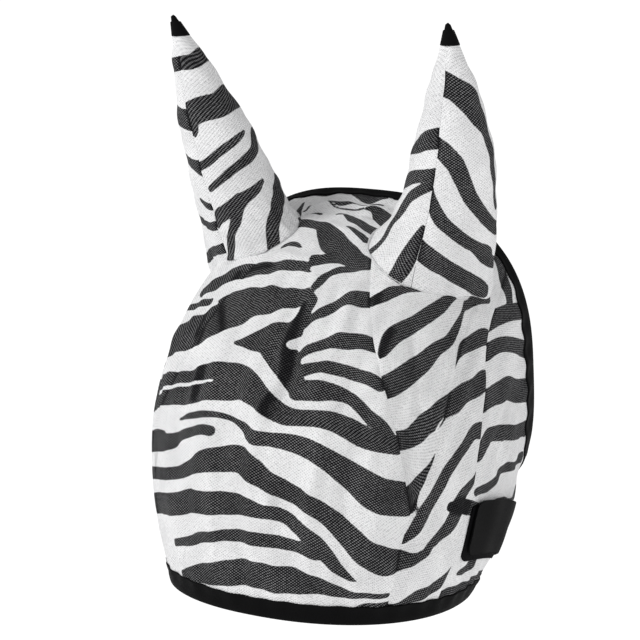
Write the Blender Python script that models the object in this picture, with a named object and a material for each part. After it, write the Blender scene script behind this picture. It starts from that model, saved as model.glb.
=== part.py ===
"""Horse fly mask with ear covers: sewn mesh panels, bound edges and a jaw flap.

Frame: metres, +Z up. -Y is the front of the face, +Y the neck, +X the horse's left side.
The origin is where the mask rests on the poll, on the midline between the ears.

The head part is a fan of closed rings. Ring t = 0 is the nose hem, ring t = 1 is the rear
opening. On a ring, phi = 0 is the front midline, +90 the horse's left side, 180 the jaw.
"""
import math

import bmesh
import bpy
from mathutils import Matrix, Vector

MM = 0.001
CM = 0.01

# ---- Driving dimensions -------------------------------------------------------------

PANEL = 1.2 * MM            # one layer of woven mesh with its seam allowance
SEAM_GAP = 0.8 * MM         # between two panels that are sewn edge to edge
CLEAR = 0.3 * MM            # between pieces that lie on each other
FOLD_CLEAR = 0.5 * MM       # between a panel and the tape folded round its edge
TAPE = 0.9 * MM             # one layer of binding tape
NOSE_TAPE = 12 * MM         # how far each tape reaches in from its edge
REAR_TAPE = 10 * MM
NECK_TAPE = 18 * MM
FLAP_TAPE = 10 * MM
PATCH = 1.0 * MM            # loop patch and hook pad
STRAP = 1.2 * MM            # closure strap webbing

# Stations of the head part, in centimetres:
# t, front point (y, z), rear point (y, z), half width, squareness in front and behind.
STATIONS = [
    (0.00, -16.6, -27.3, 8.2, -30.8, 11.9, 2.20, 2.2),
    (0.20, -16.9, -19.9, 8.9, -29.9, 13.2, 2.25, 2.4),
    (0.40, -15.4, -12.8, 9.3, -28.8, 13.9, 2.30, 2.6),
    (0.60, -11.8, -6.8, 9.6, -27.8, 14.0, 2.40, 2.8),
    (0.80, -4.8, -1.4, 9.8, -26.8, 13.7, 2.50, 3.0),
    (1.00, 5.0, 1.5, 9.8, -25.9, 13.5, 2.60, 3.3),
]

# Seams, as (t, phi in degrees) on the horse's left; the right side mirrors them.
SIDES = {"left": 1, "right": -1}
COLUMNS = {"face": 18, "gusset": 4, "cheek": 4, "jowl": 10, "crown": 24, "flap": 32}
JOIN_T = 0.28                                       # the eye gusset starts here
SEAM_NOSE = [(0.0, 48), (0.14, 49.5), (0.28, 51)]       # below the gusset
SEAM_A = [(0.28, 51), (0.42, 43), (0.55, 34), (0.68, 25), (0.80, 18)]
SEAM_B = [(0.28, 51), (0.40, 54), (0.55, 55), (0.68, 54), (0.80, 53)]
SEAM_C = [(0.0, 70), (0.2, 74), (0.42, 75.5), (0.6, 72), (0.7, 68.5), (0.8, 62.5), (1.0, 55)]
SEAM_JAW = [(0.0, 118), (0.25, 127), (0.5, 131.5), (1.0, 132)]  # rear edge of the jowl panels
CROWN_T = 0.83                                      # crown seam, in front of the ears
SEAM_INSET_T = 0.003                                # half the gap at the crown seam
FRONT_ROWS = 12                                     # rows of the panels in front of the ears
GUSSET_ROW = 5                                      # the gusset's point starts at this row

# Closure on the left jowl. Its tapes are of even width, along one line (phi, t).
CLOSURE_LINE = [(80, 0.29), (145, 0.455)]
STRAP_WIDTH = 44 * MM
STRAP_PHI = 79                                      # free end of the strap
PAD_WIDTH = 40 * MM
PAD_PHI = (80, 112)
PATCH_WIDTH = 46 * MM
PATCH_PHI = (77.5, 114)
PATCH_DROP = 5 * MM                                 # the patch sits a little below the strap
FLAP_ROOM = 5 * MM                                  # bindings of the flap stop this far from its sides
FOLD_LIFT = 5 * MM                                  # the flap folds this far outside its edge
ANCHOR_TURN = 9                                     # degrees of flap that the strap is sewn on

# Ears, in centimetres: base centre, tip, sideways bow, and the front seam's angle.
EARS = {
    "left": dict(side=1, base=(8.3, -0.5, -3.0), tip=(11.3, -7.2, 16.6), bow=0.8, seam=-27),
    "right": dict(side=-1, base=(-7.8, -0.5, -3.0), tip=(-11.3, -7.2, 16.3), bow=0.3, seam=-9),
}
EAR_TURN = 25               # the broad face of an ear looks this far outward, in degrees
# Share of the height, full width, full depth.
EAR_RINGS = [(0.0, 10.0, 5.6), (0.2, 7.9, 6.3), (0.4, 6.6, 6.1), (0.6, 5.3, 4.9),
             (0.8, 3.1, 3.0), (0.9, 1.9, 1.9), (1.0, 0.5, 0.5)]
EAR_OUTER_SPAN = 127        # degrees of an ear's girth that its outer panel covers
EAR_SETTLE = 0.5            # share of the height over which the base follows the head
EAR_CLEAR = 6 * MM          # room round an ear's rim, for its tilt
TIP_S = 0.92                # the tip cap starts here

STEP = 1e-4                 # parameter step for slopes

COLOURS = {
    "mesh": ((0.30, 0.30, 0.31, 1), 0.75),
    "tape": ((0.015, 0.015, 0.016, 1), 0.70),
    "loop": ((0.010, 0.010, 0.011, 1), 0.95),
    "webbing": ((0.013, 0.013, 0.014, 1), 0.80),
}


# ---- Small tools --------------------------------------------------------------------

def curve_value(points, x, column=1):
    """Smooth value of a table's column at x: cubic pieces with averaged slopes."""
    xs = [row[0] for row in points]
    ys = [row[column] for row in points]
    x = min(max(x, xs[0]), xs[-1])
    slopes = []
    for i in range(len(xs)):
        low = max(i - 1, 0)
        high = min(i + 1, len(xs) - 1)
        slopes.append((ys[high] - ys[low]) / (xs[high] - xs[low]))
    i = 0
    while i < len(xs) - 2 and x > xs[i + 1]:
        i += 1
    width = xs[i + 1] - xs[i]
    k = (x - xs[i]) / width
    return ((2 * k ** 3 - 3 * k ** 2 + 1) * ys[i] + (k ** 3 - 2 * k ** 2 + k) * width * slopes[i]
            + (3 * k ** 2 - 2 * k ** 3) * ys[i + 1] + (k ** 3 - k ** 2) * width * slopes[i + 1])


def spread(low, high, count):
    """count + 1 evenly spaced values from low to high."""
    return [low + (high - low) * i / count for i in range(count + 1)]


def skin(t, phi):
    """Point of the head part's middle surface, phi in degrees."""
    front_y, front_z, rear_y, rear_z, half_width, front_n, rear_n = [
        curve_value(STATIONS, t, column) for column in range(1, 8)]
    angle = math.radians(phi)
    c = math.cos(angle)
    s = math.sin(angle)
    n = front_n if c >= 0 else rear_n
    radius = (abs(c) ** n + abs(s) ** n) ** (-1 / n)
    centre_y = (front_y + rear_y) / 2
    centre_z = (front_z + rear_z) / 2
    return Vector((half_width * radius * s,
                   centre_y + (front_y - centre_y) * radius * c,
                   centre_z + (front_z - centre_z) * radius * c)) * CM


def skin_slopes(t, phi):
    """Slopes of the surface along t and along phi (per degree)."""
    low = max(t - STEP, 0)
    high = min(t + STEP, 1)
    along_t = (skin(high, phi) - skin(low, phi)) / (high - low)
    along_phi = (skin(t, phi + 0.05) - skin(t, phi - 0.05)) / 0.1
    return along_t, along_phi


def skin_normal(t, phi):
    along_t, along_phi = skin_slopes(t, phi)
    return along_phi.cross(along_t).normalized()


def skin_offset(t, phi, height):
    return skin(t, phi) + skin_normal(t, phi) * height


def seam_phi(points, t, side=1, inset=0.0):
    """Angle of a seam at t, moved by inset metres around the ring (plus is away from the front)."""
    phi = curve_value(points, t)
    arc = skin_slopes(t, phi)[1].length
    return side * (phi + inset / arc)


def front_seam(points, t):
    """The seam round the eye gusset: one line below the gusset, then its own line."""
    return points if t >= JOIN_T else SEAM_NOSE


def material(name):
    known = bpy.data.materials.get(name)
    if known:
        return known
    colour, roughness = COLOURS[name]
    made = bpy.data.materials.new(name)
    made.use_nodes = True
    shader = made.node_tree.nodes["Principled BSDF"]
    shader.inputs["Base Color"].default_value = colour
    shader.inputs["Roughness"].default_value = roughness
    shader.inputs["Metallic"].default_value = 0.0
    made.diffuse_color = colour
    return made


def add_object(name, mesh_data, slot, pivot=None):
    """Finish a bmesh into a named object; pivot moves the origin and keeps the shape in place."""
    bmesh.ops.recalc_face_normals(mesh_data, faces=mesh_data.faces)
    if pivot:
        bmesh.ops.translate(mesh_data, vec=-pivot, verts=mesh_data.verts)
    mesh = bpy.data.meshes.new(name)
    mesh_data.to_mesh(mesh)
    mesh_data.free()
    mesh.shade_smooth()
    mesh.set_sharp_from_angle(angle=math.radians(40))
    made = bpy.data.objects.new(name, mesh)
    bpy.context.scene.collection.objects.link(made)
    made.data.materials.append(material(slot))
    if pivot:
        made.location = pivot
    return made


def shell(name, outer, inner, slot, pivot=None):
    """Closed thin sheet between two grids of points, given as rows of equal length."""
    mesh = bmesh.new()
    rows = len(outer)
    cols = len(outer[0])
    top = [[mesh.verts.new(p) for p in row] for row in outer]
    low = [[mesh.verts.new(p) for p in row] for row in inner]
    for i in range(rows - 1):
        for j in range(cols - 1):
            mesh.faces.new((top[i][j], top[i][j + 1], top[i + 1][j + 1], top[i + 1][j]))
            mesh.faces.new((low[i][j], low[i + 1][j], low[i + 1][j + 1], low[i][j + 1]))
    rim = [(0, j) for j in range(cols)]
    rim += [(i, cols - 1) for i in range(1, rows)]
    rim += [(rows - 1, j) for j in range(cols - 2, -1, -1)]
    rim += [(i, 0) for i in range(rows - 2, 0, -1)]
    for (i, j), (k, m) in zip(rim, rim[1:] + rim[:1]):
        mesh.faces.new((top[i][j], low[i][j], low[k][m], top[k][m]))
    return add_object(name, mesh, slot, pivot)


def skin_sheet(name, t_values, edges, columns, slot, low=-PANEL / 2, high=PANEL / 2, pivot=None):
    """A sheet on the head part. edges(t) gives its two phi limits at each t."""
    outer = []
    inner = []
    for t in t_values:
        start, end = edges(t)
        angles = spread(start, end, columns)
        outer.append([skin_offset(t, phi, high) for phi in angles])
        inner.append([skin_offset(t, phi, low) for phi in angles])
    return shell(name, outer, inner, slot, pivot)


def binding(name, t, angles, reach, pivot=None):
    """Tape folded over the hem (t = 0) or the rear edge (t = 1): a U section swept along it."""
    inside = PANEL / 2 + FOLD_CLEAR
    outside = inside + TAPE
    mesh = bmesh.new()
    rings = []
    for phi in angles:
        along_t, along_phi = skin_slopes(t, phi)
        normal = along_phi.cross(along_t).normalized()
        away = along_t.normalized() * (1 if t > 0.5 else -1)
        leg_t = t + reach / along_t.length * (-1 if t > 0.5 else 1)
        edge = skin(t, phi) + away * CLEAR
        fold = edge + away * TAPE
        half_t = (t + leg_t) / 2
        section = [skin_offset(leg_t, phi, outside), skin_offset(half_t, phi, outside),
                   fold + normal * outside, fold - normal * outside,
                   skin_offset(half_t, phi, -outside), skin_offset(leg_t, phi, -outside),
                   skin_offset(leg_t, phi, -inside), skin_offset(half_t, phi, -inside),
                   edge - normal * inside, edge + normal * inside,
                   skin_offset(half_t, phi, inside), skin_offset(leg_t, phi, inside)]
        rings.append([mesh.verts.new(point) for point in section])
    for ring, following in zip(rings, rings[1:]):
        for k in range(12):
            n = (k + 1) % 12
            mesh.faces.new((ring[k], ring[n], following[n], following[k]))
    for ring in (rings[0], rings[-1]):
        for corners in ((0, 1, 10, 11), (1, 2, 9, 10), (2, 3, 8, 9), (3, 4, 7, 8), (4, 5, 6, 7)):
            mesh.faces.new([ring[k] for k in corners])
    return add_object(name, mesh, "tape", pivot)


# ---- Ears ---------------------------------------------------------------------------

def height_of_skin(x, y):
    """Height of the crown over a point, by Newton steps on the ring parameters."""
    t = 0.86
    phi = math.degrees(math.atan2(x, 0.11))
    for _ in range(30):
        here = skin(t, phi)
        along_t, along_phi = skin_slopes(t, phi)
        grid = Matrix(((along_t.x, along_phi.x), (along_t.y, along_phi.y)))
        move = grid.inverted() @ Vector((x - here.x, y - here.y))
        t = min(max(t + max(min(move.x, 0.05), -0.05), 0.6), 1.0)
        phi += max(min(move.y, 5), -5)
    return skin(t, phi).z


def ear_axes(ear):
    turn = math.radians(EAR_TURN)
    outward = Vector((ear["side"] * math.cos(turn), math.sin(turn), 0))
    facing = Vector((ear["side"] * math.sin(turn), -math.cos(turn), 0))
    return outward, facing


def ear_point(ear, s, psi, grow=0.0):
    """Point of an ear: s runs from base to tip, psi is 0 at its broad face and + outward."""
    outward, facing = ear_axes(ear)
    base = Vector(ear["base"])
    tip = Vector(ear["tip"])
    centre = base.lerp(tip, s) + Vector((ear["bow"] * 4 * s * (1 - s), 0, 0))
    angle = math.radians(psi)
    width = curve_value(EAR_RINGS, s, 1) / 2
    depth = curve_value(EAR_RINGS, s, 2) / 2
    point = (centre + outward * width * math.sin(angle) + facing * depth * math.cos(angle)) * CM
    if grow:
        point += (outward * math.sin(angle) + facing * math.cos(angle)) * grow
    if s < EAR_SETTLE:
        key = (ear["side"], round(psi, 4))
        if key not in BASE_HEIGHTS:
            rim = base + outward * EAR_RINGS[0][1] / 2 * math.sin(angle)
            rim += facing * EAR_RINGS[0][2] / 2 * math.cos(angle)
            BASE_HEIGHTS[key] = height_of_skin(rim.x * CM, rim.y * CM) - base.z * CM
        point.z += BASE_HEIGHTS[key] * (1 - s / EAR_SETTLE) ** 2
    return point


BASE_HEIGHTS = {}


def ear_normal(ear, s, psi):
    up = ear_point(ear, min(s + 0.01, 1), psi) - ear_point(ear, max(s - 0.01, 0), psi)
    around = ear_point(ear, s, psi + 2) - ear_point(ear, s, psi - 2)
    return around.cross(up).normalized() * ear["side"]


def ear_pivot(ear):
    """Middle and direction of an ear's tilt axis: across its rim, from inner to outer end."""
    inner = ear_point(ear, 0, -90)
    outer = ear_point(ear, 0, 90)
    return (inner + outer) / 2, (outer - inner).normalized()


def ear_panel(ear, name, start, end, columns):
    outer = []
    inner = []
    for s in spread(0, TIP_S - 0.004, 10):
        width = curve_value(EAR_RINGS, s, 1) * CM / 2
        inset = math.degrees(SEAM_GAP / 2 / width)
        angles = spread(start + inset, end - inset, columns)
        outer.append([ear_point(ear, s, psi) + ear_normal(ear, s, psi) * PANEL / 2
                      for psi in angles])
        inner.append([ear_point(ear, s, psi) - ear_normal(ear, s, psi) * PANEL / 2
                      for psi in angles])
    return shell(name, outer, inner, "mesh", ear_pivot(ear)[0])


def ear_tip(ear, name):
    """Cup that closes the top of an ear."""
    sides = 16
    heights = [TIP_S, 0.95, 0.975, 0.99]
    mesh = bmesh.new()
    outer = []
    inner = []
    for s in heights:
        angles = spread(0, 360, sides)[:-1]
        outer.append([ear_point(ear, s, psi, PANEL / 2) for psi in angles])
        inner.append([ear_point(ear, s, psi, -PANEL / 2) for psi in angles])
    rings = [[mesh.verts.new(p) for p in ring] for ring in inner[:-1][::-1] + outer]
    for low, high in zip(rings, rings[1:]):
        for k in range(sides):
            n = (k + 1) % sides
            mesh.faces.new((low[k], low[n], high[n], high[k]))
    mesh.faces.new(rings[0])
    mesh.faces.new(rings[-1])
    return add_object(name, mesh, "tape", ear_pivot(ear)[0])


def ear_cutter(name, ear):
    """Upright oval prism, larger than the ear's rim by the room it needs to tilt."""
    outward, facing = ear_axes(ear)
    bottom, top = -10 * CM, 6 * CM
    mesh = bmesh.new()
    rings = [[], []]
    for psi in spread(0, 360, 40)[:-1]:
        angle = math.radians(psi)
        rim = Vector(ear["base"]) * CM
        rim += outward * (EAR_RINGS[0][1] * CM / 2 + EAR_CLEAR) * math.sin(angle)
        rim += facing * (EAR_RINGS[0][2] * CM / 2 + EAR_CLEAR) * math.cos(angle)
        rings[0].append(mesh.verts.new((rim.x, rim.y, bottom)))
        rings[1].append(mesh.verts.new((rim.x, rim.y, top)))
    for k in range(40):
        n = (k + 1) % 40
        mesh.faces.new((rings[0][k], rings[0][n], rings[1][n], rings[1][k]))
    mesh.faces.new(rings[0])
    mesh.faces.new(rings[1])
    cutter = add_object(name, mesh, "mesh")
    cutter.hide_render = True
    cutter.display_type = "WIRE"
    return cutter


def cut(piece, cutter):
    modifier = piece.modifiers.new("ear_hole_" + cutter.name, "BOOLEAN")
    modifier.operation = "DIFFERENCE"
    modifier.solver = "EXACT"
    modifier.object = cutter


# ---- Head panels --------------------------------------------------------------------

def face_edges(t):
    seam = front_seam(SEAM_A, t)
    return seam_phi(seam, t, -1, -SEAM_GAP / 2), seam_phi(seam, t, 1, -SEAM_GAP / 2)


def gusset_edges(t, side):
    return seam_phi(SEAM_A, t, side, SEAM_GAP / 2), seam_phi(SEAM_B, t, side, -SEAM_GAP / 2)


def cheek_edges(t, side):
    seam = front_seam(SEAM_B, t)
    return seam_phi(seam, t, side, SEAM_GAP / 2), seam_phi(SEAM_C, t, side, -SEAM_GAP / 2)


def jowl_edges(t, side):
    return seam_phi(SEAM_C, t, side, SEAM_GAP / 2), seam_phi(SEAM_JAW, t, side, -SEAM_GAP / 2)


def crown_edges(t):
    return seam_phi(SEAM_C, t, -1, -SEAM_GAP / 2), seam_phi(SEAM_C, t, 1, -SEAM_GAP / 2)


def flap_edges(t):
    start = seam_phi(SEAM_JAW, t, 1, SEAM_GAP / 2)
    end = seam_phi(SEAM_JAW, t, -1, SEAM_GAP / 2)
    return start, 360 + end


def build_panels():
    rows = spread(0, CROWN_T - SEAM_INSET_T, FRONT_ROWS)
    panels = [
        skin_sheet("face_panel", rows, face_edges, COLUMNS["face"], "mesh"),
        skin_sheet("crown_panel", spread(CROWN_T + SEAM_INSET_T, 1, 6), crown_edges,
                   COLUMNS["crown"], "mesh")]
    for name, side in SIDES.items():
        parts = [("_eye_gusset", gusset_edges, rows[GUSSET_ROW:], "gusset"),
                 ("_cheek_panel", cheek_edges, rows, "cheek"),
                 ("_jowl_panel", jowl_edges, rows + spread(CROWN_T + SEAM_INSET_T, 1, 3), "jowl")]
        for suffix, edges, t_values, kind in parts:
            panels.append(skin_sheet(name + suffix, t_values,
                                     lambda t, edges=edges, side=side: edges(t, side),
                                     COLUMNS[kind], "mesh"))
    return panels


def edge_angles(kinds, t, room=1.5 * SEAM_GAP):
    """Angles of the panels' columns where they meet the edge, drawn in by room at both ends."""
    angles = []
    for kind, edges in kinds:
        angles += spread(*edges, COLUMNS[kind])
    angles.sort()
    angles[0] += room / skin_slopes(t, angles[0])[1].length
    angles[-1] -= room / skin_slopes(t, angles[-1])[1].length
    return angles


# ---- Jaw flap and closure -----------------------------------------------------------

def flap_axis():
    """Fold line of the jaw flap, along the rear edge of the right jowl."""
    low = skin_offset(0, -curve_value(SEAM_JAW, 0), FOLD_LIFT)
    high = skin_offset(1, -curve_value(SEAM_JAW, 1), FOLD_LIFT)
    return (low + high) / 2, (high - low).normalized()


def closure_t(phi, across):
    """Ring parameter at a distance (metres) across the closure line."""
    t = curve_value(CLOSURE_LINE, phi)
    return t + across / skin_slopes(t, phi)[0].length


def strap_end_phi(across, inset):
    """Angle where a tape on the closure line meets the jowl's rear edge, moved by inset."""
    phi = 127
    for _ in range(4):
        phi = seam_phi(SEAM_JAW, closure_t(phi, across), 1, inset)
    return phi


def tape_on_skin(name, width, span, columns, slot, low, high, drop=0.0, pivot=None):
    """A flat tape laid on the head along the closure line. span(across) gives its phi limits."""
    outer = []
    inner = []
    for across in spread(-width / 2 - drop, width / 2 - drop, 4):
        angles = spread(*span(across), columns)
        outer.append([skin_offset(closure_t(phi, across), phi, high) for phi in angles])
        inner.append([skin_offset(closure_t(phi, across), phi, low) for phi in angles])
    return shell(name, outer, inner, slot, pivot)


def strap_axis():
    """Fold line of the closure strap, along the flap's free end."""
    height = PANEL / 2 + 3 * CLEAR + 2 * PATCH + STRAP
    ends = []
    for across in (-STRAP_WIDTH / 2, STRAP_WIDTH / 2):
        phi = strap_end_phi(across, 0)
        ends.append(skin_offset(closure_t(phi, across), phi, height))
    low, high = ends
    return (low + high) / 2, (high - low).normalized()


def build_flap():
    pivot = flap_axis()[0]
    skin_sheet("jaw_flap", spread(0, 1, 8), flap_edges, COLUMNS["flap"], "mesh", pivot=pivot)
    for name, t in (("chin_binding", 0), ("throat_binding", 1)):
        binding(name, t, edge_angles([("flap", flap_edges(t))], t, FLAP_ROOM), FLAP_TAPE, pivot)


def build_closure():
    """Loop patch on the jowl; strap and hook pad over it; the strap's sewn end on the flap."""
    patch_low = PANEL / 2 + CLEAR
    pad_low = patch_low + PATCH + CLEAR
    strap_low = pad_low + PATCH + CLEAR
    pivot = strap_axis()[0]
    tape_on_skin("loop_patch", PATCH_WIDTH, lambda across: PATCH_PHI, 7, "loop",
                 patch_low, patch_low + PATCH, PATCH_DROP)
    tape_on_skin("hook_pad", PAD_WIDTH, lambda across: PAD_PHI, 6, "loop",
                 pad_low, pad_low + PATCH, pivot=pivot)
    tape_on_skin("closure_strap", STRAP_WIDTH,
                 lambda across: (STRAP_PHI, strap_end_phi(across, -SEAM_GAP)), 9, "webbing",
                 strap_low, strap_low + STRAP, pivot=pivot)
    tape_on_skin("strap_anchor", STRAP_WIDTH,
                 lambda across: (strap_end_phi(across, SEAM_GAP),
                                 strap_end_phi(across, 0) + ANCHOR_TURN), 3, "webbing",
                 patch_low, patch_low + STRAP, pivot=flap_axis()[0])


# ---- Bindings of the fixed part -----------------------------------------------------

def build_bindings():
    hem = [("face", face_edges(0))]
    for side in SIDES.values():
        hem += [("cheek", cheek_edges(0, side)), ("jowl", jowl_edges(0, side))]
    binding("nose_binding", 0, edge_angles(hem, 0), NOSE_TAPE)
    binding("crown_elastic", 1, edge_angles([("crown", crown_edges(1))], 1), REAR_TAPE)
    for name, side in SIDES.items():
        binding(name + "_neck_binding", 1, edge_angles([("jowl", jowl_edges(1, side))], 1),
                NECK_TAPE)


# ---- Assembly -----------------------------------------------------------------------

def main():
    for old in list(bpy.data.objects):
        bpy.data.objects.remove(old)
    panels = build_panels()
    for name, ear in EARS.items():
        seam = ear["seam"]
        ear_panel(ear, name + "_ear_outer", seam, seam + EAR_OUTER_SPAN, 7)
        ear_panel(ear, name + "_ear_inner", seam + EAR_OUTER_SPAN - 360, seam, 12)
        ear_tip(ear, name + "_ear_tip")
        cutter = ear_cutter(name + "_ear_cutter", ear)
        for piece in panels:
            shares_side = piece.name.startswith(name) or piece.name in ("face_panel", "crown_panel")
            if shares_side:
                cut(piece, cutter)
    build_flap()
    build_closure()
    build_bindings()


main()
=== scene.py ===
"""Looks of a striped mesh fly mask with ear covers, a jaw flap and a hook-and-loop closure.

Every panel is a thin fine-gridded cloth sheet on the mask's own surface formula. The stripes are
woven in: each is a smooth stroke on the surface, and the cloth carries its distance to them.
"""
import math

import bpy
import numpy as np
from mathutils import Matrix, Vector


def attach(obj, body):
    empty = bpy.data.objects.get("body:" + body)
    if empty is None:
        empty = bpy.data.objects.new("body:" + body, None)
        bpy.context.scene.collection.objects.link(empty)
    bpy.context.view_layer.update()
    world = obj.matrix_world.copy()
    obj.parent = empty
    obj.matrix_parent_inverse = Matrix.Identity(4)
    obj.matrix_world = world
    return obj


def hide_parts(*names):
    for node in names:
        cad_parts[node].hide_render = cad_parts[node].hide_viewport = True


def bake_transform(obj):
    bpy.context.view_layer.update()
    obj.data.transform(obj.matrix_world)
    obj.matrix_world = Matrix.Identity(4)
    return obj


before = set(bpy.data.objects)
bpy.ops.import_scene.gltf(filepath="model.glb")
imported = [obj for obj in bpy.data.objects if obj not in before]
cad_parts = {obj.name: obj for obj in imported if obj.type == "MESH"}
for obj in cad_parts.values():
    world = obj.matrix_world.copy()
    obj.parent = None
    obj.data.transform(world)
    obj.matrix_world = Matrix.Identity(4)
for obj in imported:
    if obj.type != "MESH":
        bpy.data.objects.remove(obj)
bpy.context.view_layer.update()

# ---- Sizes (metres, unless a line says centimetres or degrees) ----

CM = 0.01
HALF = 0.00045           # half the cloth's thickness
GRID = 0.0021            # spacing of the cloth's grid
CROWN_GRID = 0.0013
TUCK = 0.0008            # how deep the cloth tucks in at a seam
DOUBLED_AND_SHADE = 0.8            # how dark doubled cloth and the painted shade in a crease and under the right ear are, from 0 to 1
LAP = 0.0001             # how far two sewn panels reach over each other
GAP = 0.00015            # room left at the jaw flap, which opens

# Rings of the head panels from nose hem (t = 0) to rear edge (t = 1): t, then in centimetres front y,
# front z, rear y, rear z and half width, then front and rear squareness. phi is the angle round a
# ring in degrees, 0 in front and positive to the horse's left.
STATIONS = np.array([
    (0.0, -16.6, -27.3, 8.2, -30.8, 11.9, 2.20, 2.2),
    (0.2, -16.9, -19.9, 8.9, -29.9, 13.2, 2.25, 2.4),
    (0.4, -15.4, -12.8, 9.3, -28.8, 13.9, 2.30, 2.6),
    (0.6, -11.8, -6.8, 9.6, -27.8, 14.0, 2.40, 2.8),
    (0.8, -4.8, -1.4, 9.8, -26.8, 13.7, 2.50, 3.0),
    (1.0, 5.0, 1.5, 9.8, -25.9, 13.5, 2.60, 3.3)])

# Seams as (t, phi): A in front of the eye gusset, B behind it, C in front of the jowl.
JOIN_T = 0.28            # where A and B meet and go on as one seam to the nose
SEAM_NOSE = [(0, 48), (0.14, 49.5), (0.28, 51)]
SEAM_A = [(0.28, 51), (0.42, 43), (0.55, 34), (0.68, 25), (0.80, 18)]
SEAM_B = [(0.28, 51), (0.40, 54), (0.55, 55), (0.68, 54), (0.80, 53)]
SEAM_C = [(0, 70), (0.2, 74), (0.42, 75.5), (0.6, 72), (0.7, 68.5), (0.8, 62.5), (1, 55)]
SEAM_JAW = [(0, 118), (0.25, 127), (0.5, 131.5), (1, 132)]
CROWN_T = 0.83           # the seam in front of the ears
CROWN_LAP = 0.0001       # its overlap, in t
GUSSET_START = 0.004     # how far above their meeting A and B leave room for the gusset, in t
CLOSURE_LINE = [(80, 0.29), (145, 0.455)]      # the strap's middle as (phi, t)

NOSE_TAPE = 0.0135       # how far each binding reaches in from its edge
REAR_TAPE = 0.010
NECK_TAPE = ((55, 0.010), (75, 0.016), (110, 0.018), (132, 0.010))     # by angle
TAPE_THICK = 0.0009
HEM_END = 0.4            # room left before the jaw flap's seams, in degrees
FLAP_END = (0.6, 0.8)    # and past them, at the closure and at the fold

# Ear covers in centimetres: base and tip, bow of the middle line, and in degrees the front seam's
# angle and the twist near the base. Rings are (share of the height, width, depth).
EARS = {
    "left": dict(side=1, base=(8.3, -0.5, -3.0), tip=(11.3, -7.2, 16.6), bow=0.8, seam=-27, twist=10),
    "right": dict(side=-1, base=(-7.8, -0.5, -3.0), tip=(-11.3, -7.2, 16.3), bow=0.3, seam=-9, twist=0)}
EAR_TURN = math.radians(25)
EAR_RINGS = [(0, 10, 5.6), (0.2, 7.9, 6.3), (0.4, 6.6, 6.1), (0.6, 5.2, 4.9), (0.8, 2.9, 2.8),
             (0.9, 1.55, 1.5), (1, 0.35, 0.35)]
BACK_SEAM = 127          # from an ear's front seam round to its back one, in degrees
CAP_S = 0.935            # where the cloth ends under the tip's tape
RIM_SPREAD = {           # how far an ear's rim reaches as a factor of its base ellipse, by angle
    "left": [(-180, 0.95), (-90, 1.05), (-56, 1.28), (-40, 1.45), (-28, 1.6), (-14, 1.6), (0, 1.3),
             (20, 0.97), (38, 0.80), (60, 0.76), (90, 0.80), (120, 0.86), (150, 0.92), (180, 0.95)],
    "right": [(-180, 0.95), (-126, 0.92), (-90, 1.02), (-69, 1.15), (-52, 1.32), (-38, 1.45),
              (-28, 1.5), (-9, 1.3), (10, 1.1), (30, 0.98), (90, 0.92), (180, 0.95)]}
EAR_HOLE = 0.93          # the hole under an ear cover, as a factor of its rim
FLANGE = 1.03            # the ear cover's seam allowance, as a factor of its rim


# ---- The mask's surface ----


def curve(points, x, column=1):
    """Smooth value of a table's column at x: cubic pieces with averaged slopes."""
    table = np.asarray(points, float)
    xs = table[:, 0]
    ys = table[:, column]
    x = np.clip(np.asarray(x, float), xs[0], xs[-1])
    low = np.maximum(np.arange(len(xs)) - 1, 0)
    high = np.minimum(np.arange(len(xs)) + 1, len(xs) - 1)
    slope = (ys[high] - ys[low]) / (xs[high] - xs[low])
    i = np.clip(np.searchsorted(xs, x, side="right") - 1, 0, len(xs) - 2)
    width = xs[i + 1] - xs[i]
    k = (x - xs[i]) / width
    return ((2 * k**3 - 3 * k**2 + 1) * ys[i] + (k**3 - 2 * k**2 + k) * width * slope[i]
            + (3 * k**2 - 2 * k**3) * ys[i + 1] + (k**3 - k**2) * width * slope[i + 1])


def skin(t, phi):
    """Points of the mask's middle surface, in metres."""
    t, phi = np.broadcast_arrays(np.asarray(t, float), np.asarray(phi, float))
    fy, fz, ry, rz, wide, nf, nr = [curve(STATIONS, t, k) for k in range(1, 8)]
    c = np.cos(np.radians(phi))
    s = np.sin(np.radians(phi))
    n = np.where(c >= 0, nf, nr)
    r = (np.abs(c)**n + np.abs(s)**n)**(-1 / n)
    cy = (fy + ry) / 2
    cz = (fz + rz) / 2
    return np.stack([wide * r * s, cy + (fy - cy) * r * c, cz + (fz - cz) * r * c], -1) * CM


def unit(v):
    """Vectors scaled to length 1."""
    return v / np.maximum(np.linalg.norm(v, axis=-1, keepdims=True), 1e-12)


def slopes(t, phi):
    """Metres along the surface per unit of t and per degree of phi, as vectors."""
    t = np.asarray(t, float)
    low = np.maximum(t - 1e-3, 0)
    high = np.minimum(t + 1e-3, 1)
    along_t = (skin(high, phi) - skin(low, phi)) / (high - low)[..., None]
    along_phi = (skin(t, phi + 0.1) - skin(t, phi - 0.1)) / 0.2
    return along_t, along_phi


def normal(t, phi):
    """Directions straight out of the surface."""
    along_t, along_phi = slopes(t, phi)
    return unit(np.cross(along_phi, along_t))


def smooth(points, steps=8):
    """A denser line through the points, rounded at them."""
    p = np.asarray(points, float)
    q = np.vstack([2 * p[0] - p[1], p, 2 * p[-1] - p[-2]])
    out = []
    for i in range(1, len(q) - 2):
        k = np.linspace(0, 1, steps, endpoint=False)[:, None]
        a, b, c, d = q[i - 1], q[i], q[i + 1], q[i + 2]
        out.append(0.5 * (2 * b + (c - a) * k + (2 * a - 5 * b + 4 * c - d) * k**2
                          + (3 * b - a - 3 * c + d) * k**3))
    out.append(p[-1:])
    return np.vstack(out)


FAR = 0.02               # the distance given to cloth that no stroke is near


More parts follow.
